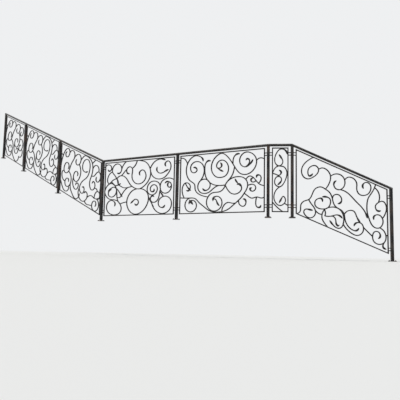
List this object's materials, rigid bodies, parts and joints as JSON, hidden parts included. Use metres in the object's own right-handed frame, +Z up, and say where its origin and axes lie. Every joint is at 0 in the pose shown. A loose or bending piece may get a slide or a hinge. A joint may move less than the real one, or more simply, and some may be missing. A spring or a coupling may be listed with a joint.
{
  "type": "wrought iron stair balustrade",
  "caption": "Wrought-iron balustrade that follows an outdoor stair and its landing: square posts, a moulded handrail and framed panels of forged scrolls.",
  "frame": {"origin": "centre of the underside of the foot plate of the post where the upper flight meets the landing", "axes": "+X along the landing, from the upper flight towards the lower one; +Z up; the outer face looks towards -Y"},
  "size_m": [8.5493, 1.0718, 3.2349],
  "materials": {
    "post_iron": "satin black paint with a brown patina",
    "rail_iron": "satin black paint, worn brighter on its crown",
    "panel_iron": "satin black paint over hammered iron"
  },
  "bodies": {
    "root": {"post_1": "post_iron", "foot_plate_1": "post_iron", "post_2": "post_iron", "foot_plate_2": "post_iron", "post_3": "post_iron", "foot_plate_3": "post_iron", "post_4": "post_iron", "foot_plate_4": "post_iron", "post_5": "post_iron", "foot_plate_5": "post_iron", "post_6": "post_iron", "foot_plate_6": "post_iron", "post_7": "post_iron", "foot_plate_7": "post_iron", "post_8": "post_iron", "foot_plate_8": "post_iron", "handrail_upper": "rail_iron", "handrail_landing": "rail_iron", "handrail_corner": "rail_iron", "handrail_lower": "rail_iron", "panel_upper_top": "panel_iron", "stubs_upper_top": "panel_iron", "panel_upper_middle": "panel_iron", "stubs_upper_middle": "panel_iron", "panel_upper_lower": "panel_iron", "stubs_upper_lower": "panel_iron", "panel_landing_left": "panel_iron", "stubs_landing_left": "panel_iron", "panel_landing_right": "panel_iron", "stubs_landing_right": "panel_iron", "panel_corner": "panel_iron", "stubs_corner": "panel_iron", "panel_lower": "panel_iron", "stubs_lower": "panel_iron"}
  },
  "joints": []
}
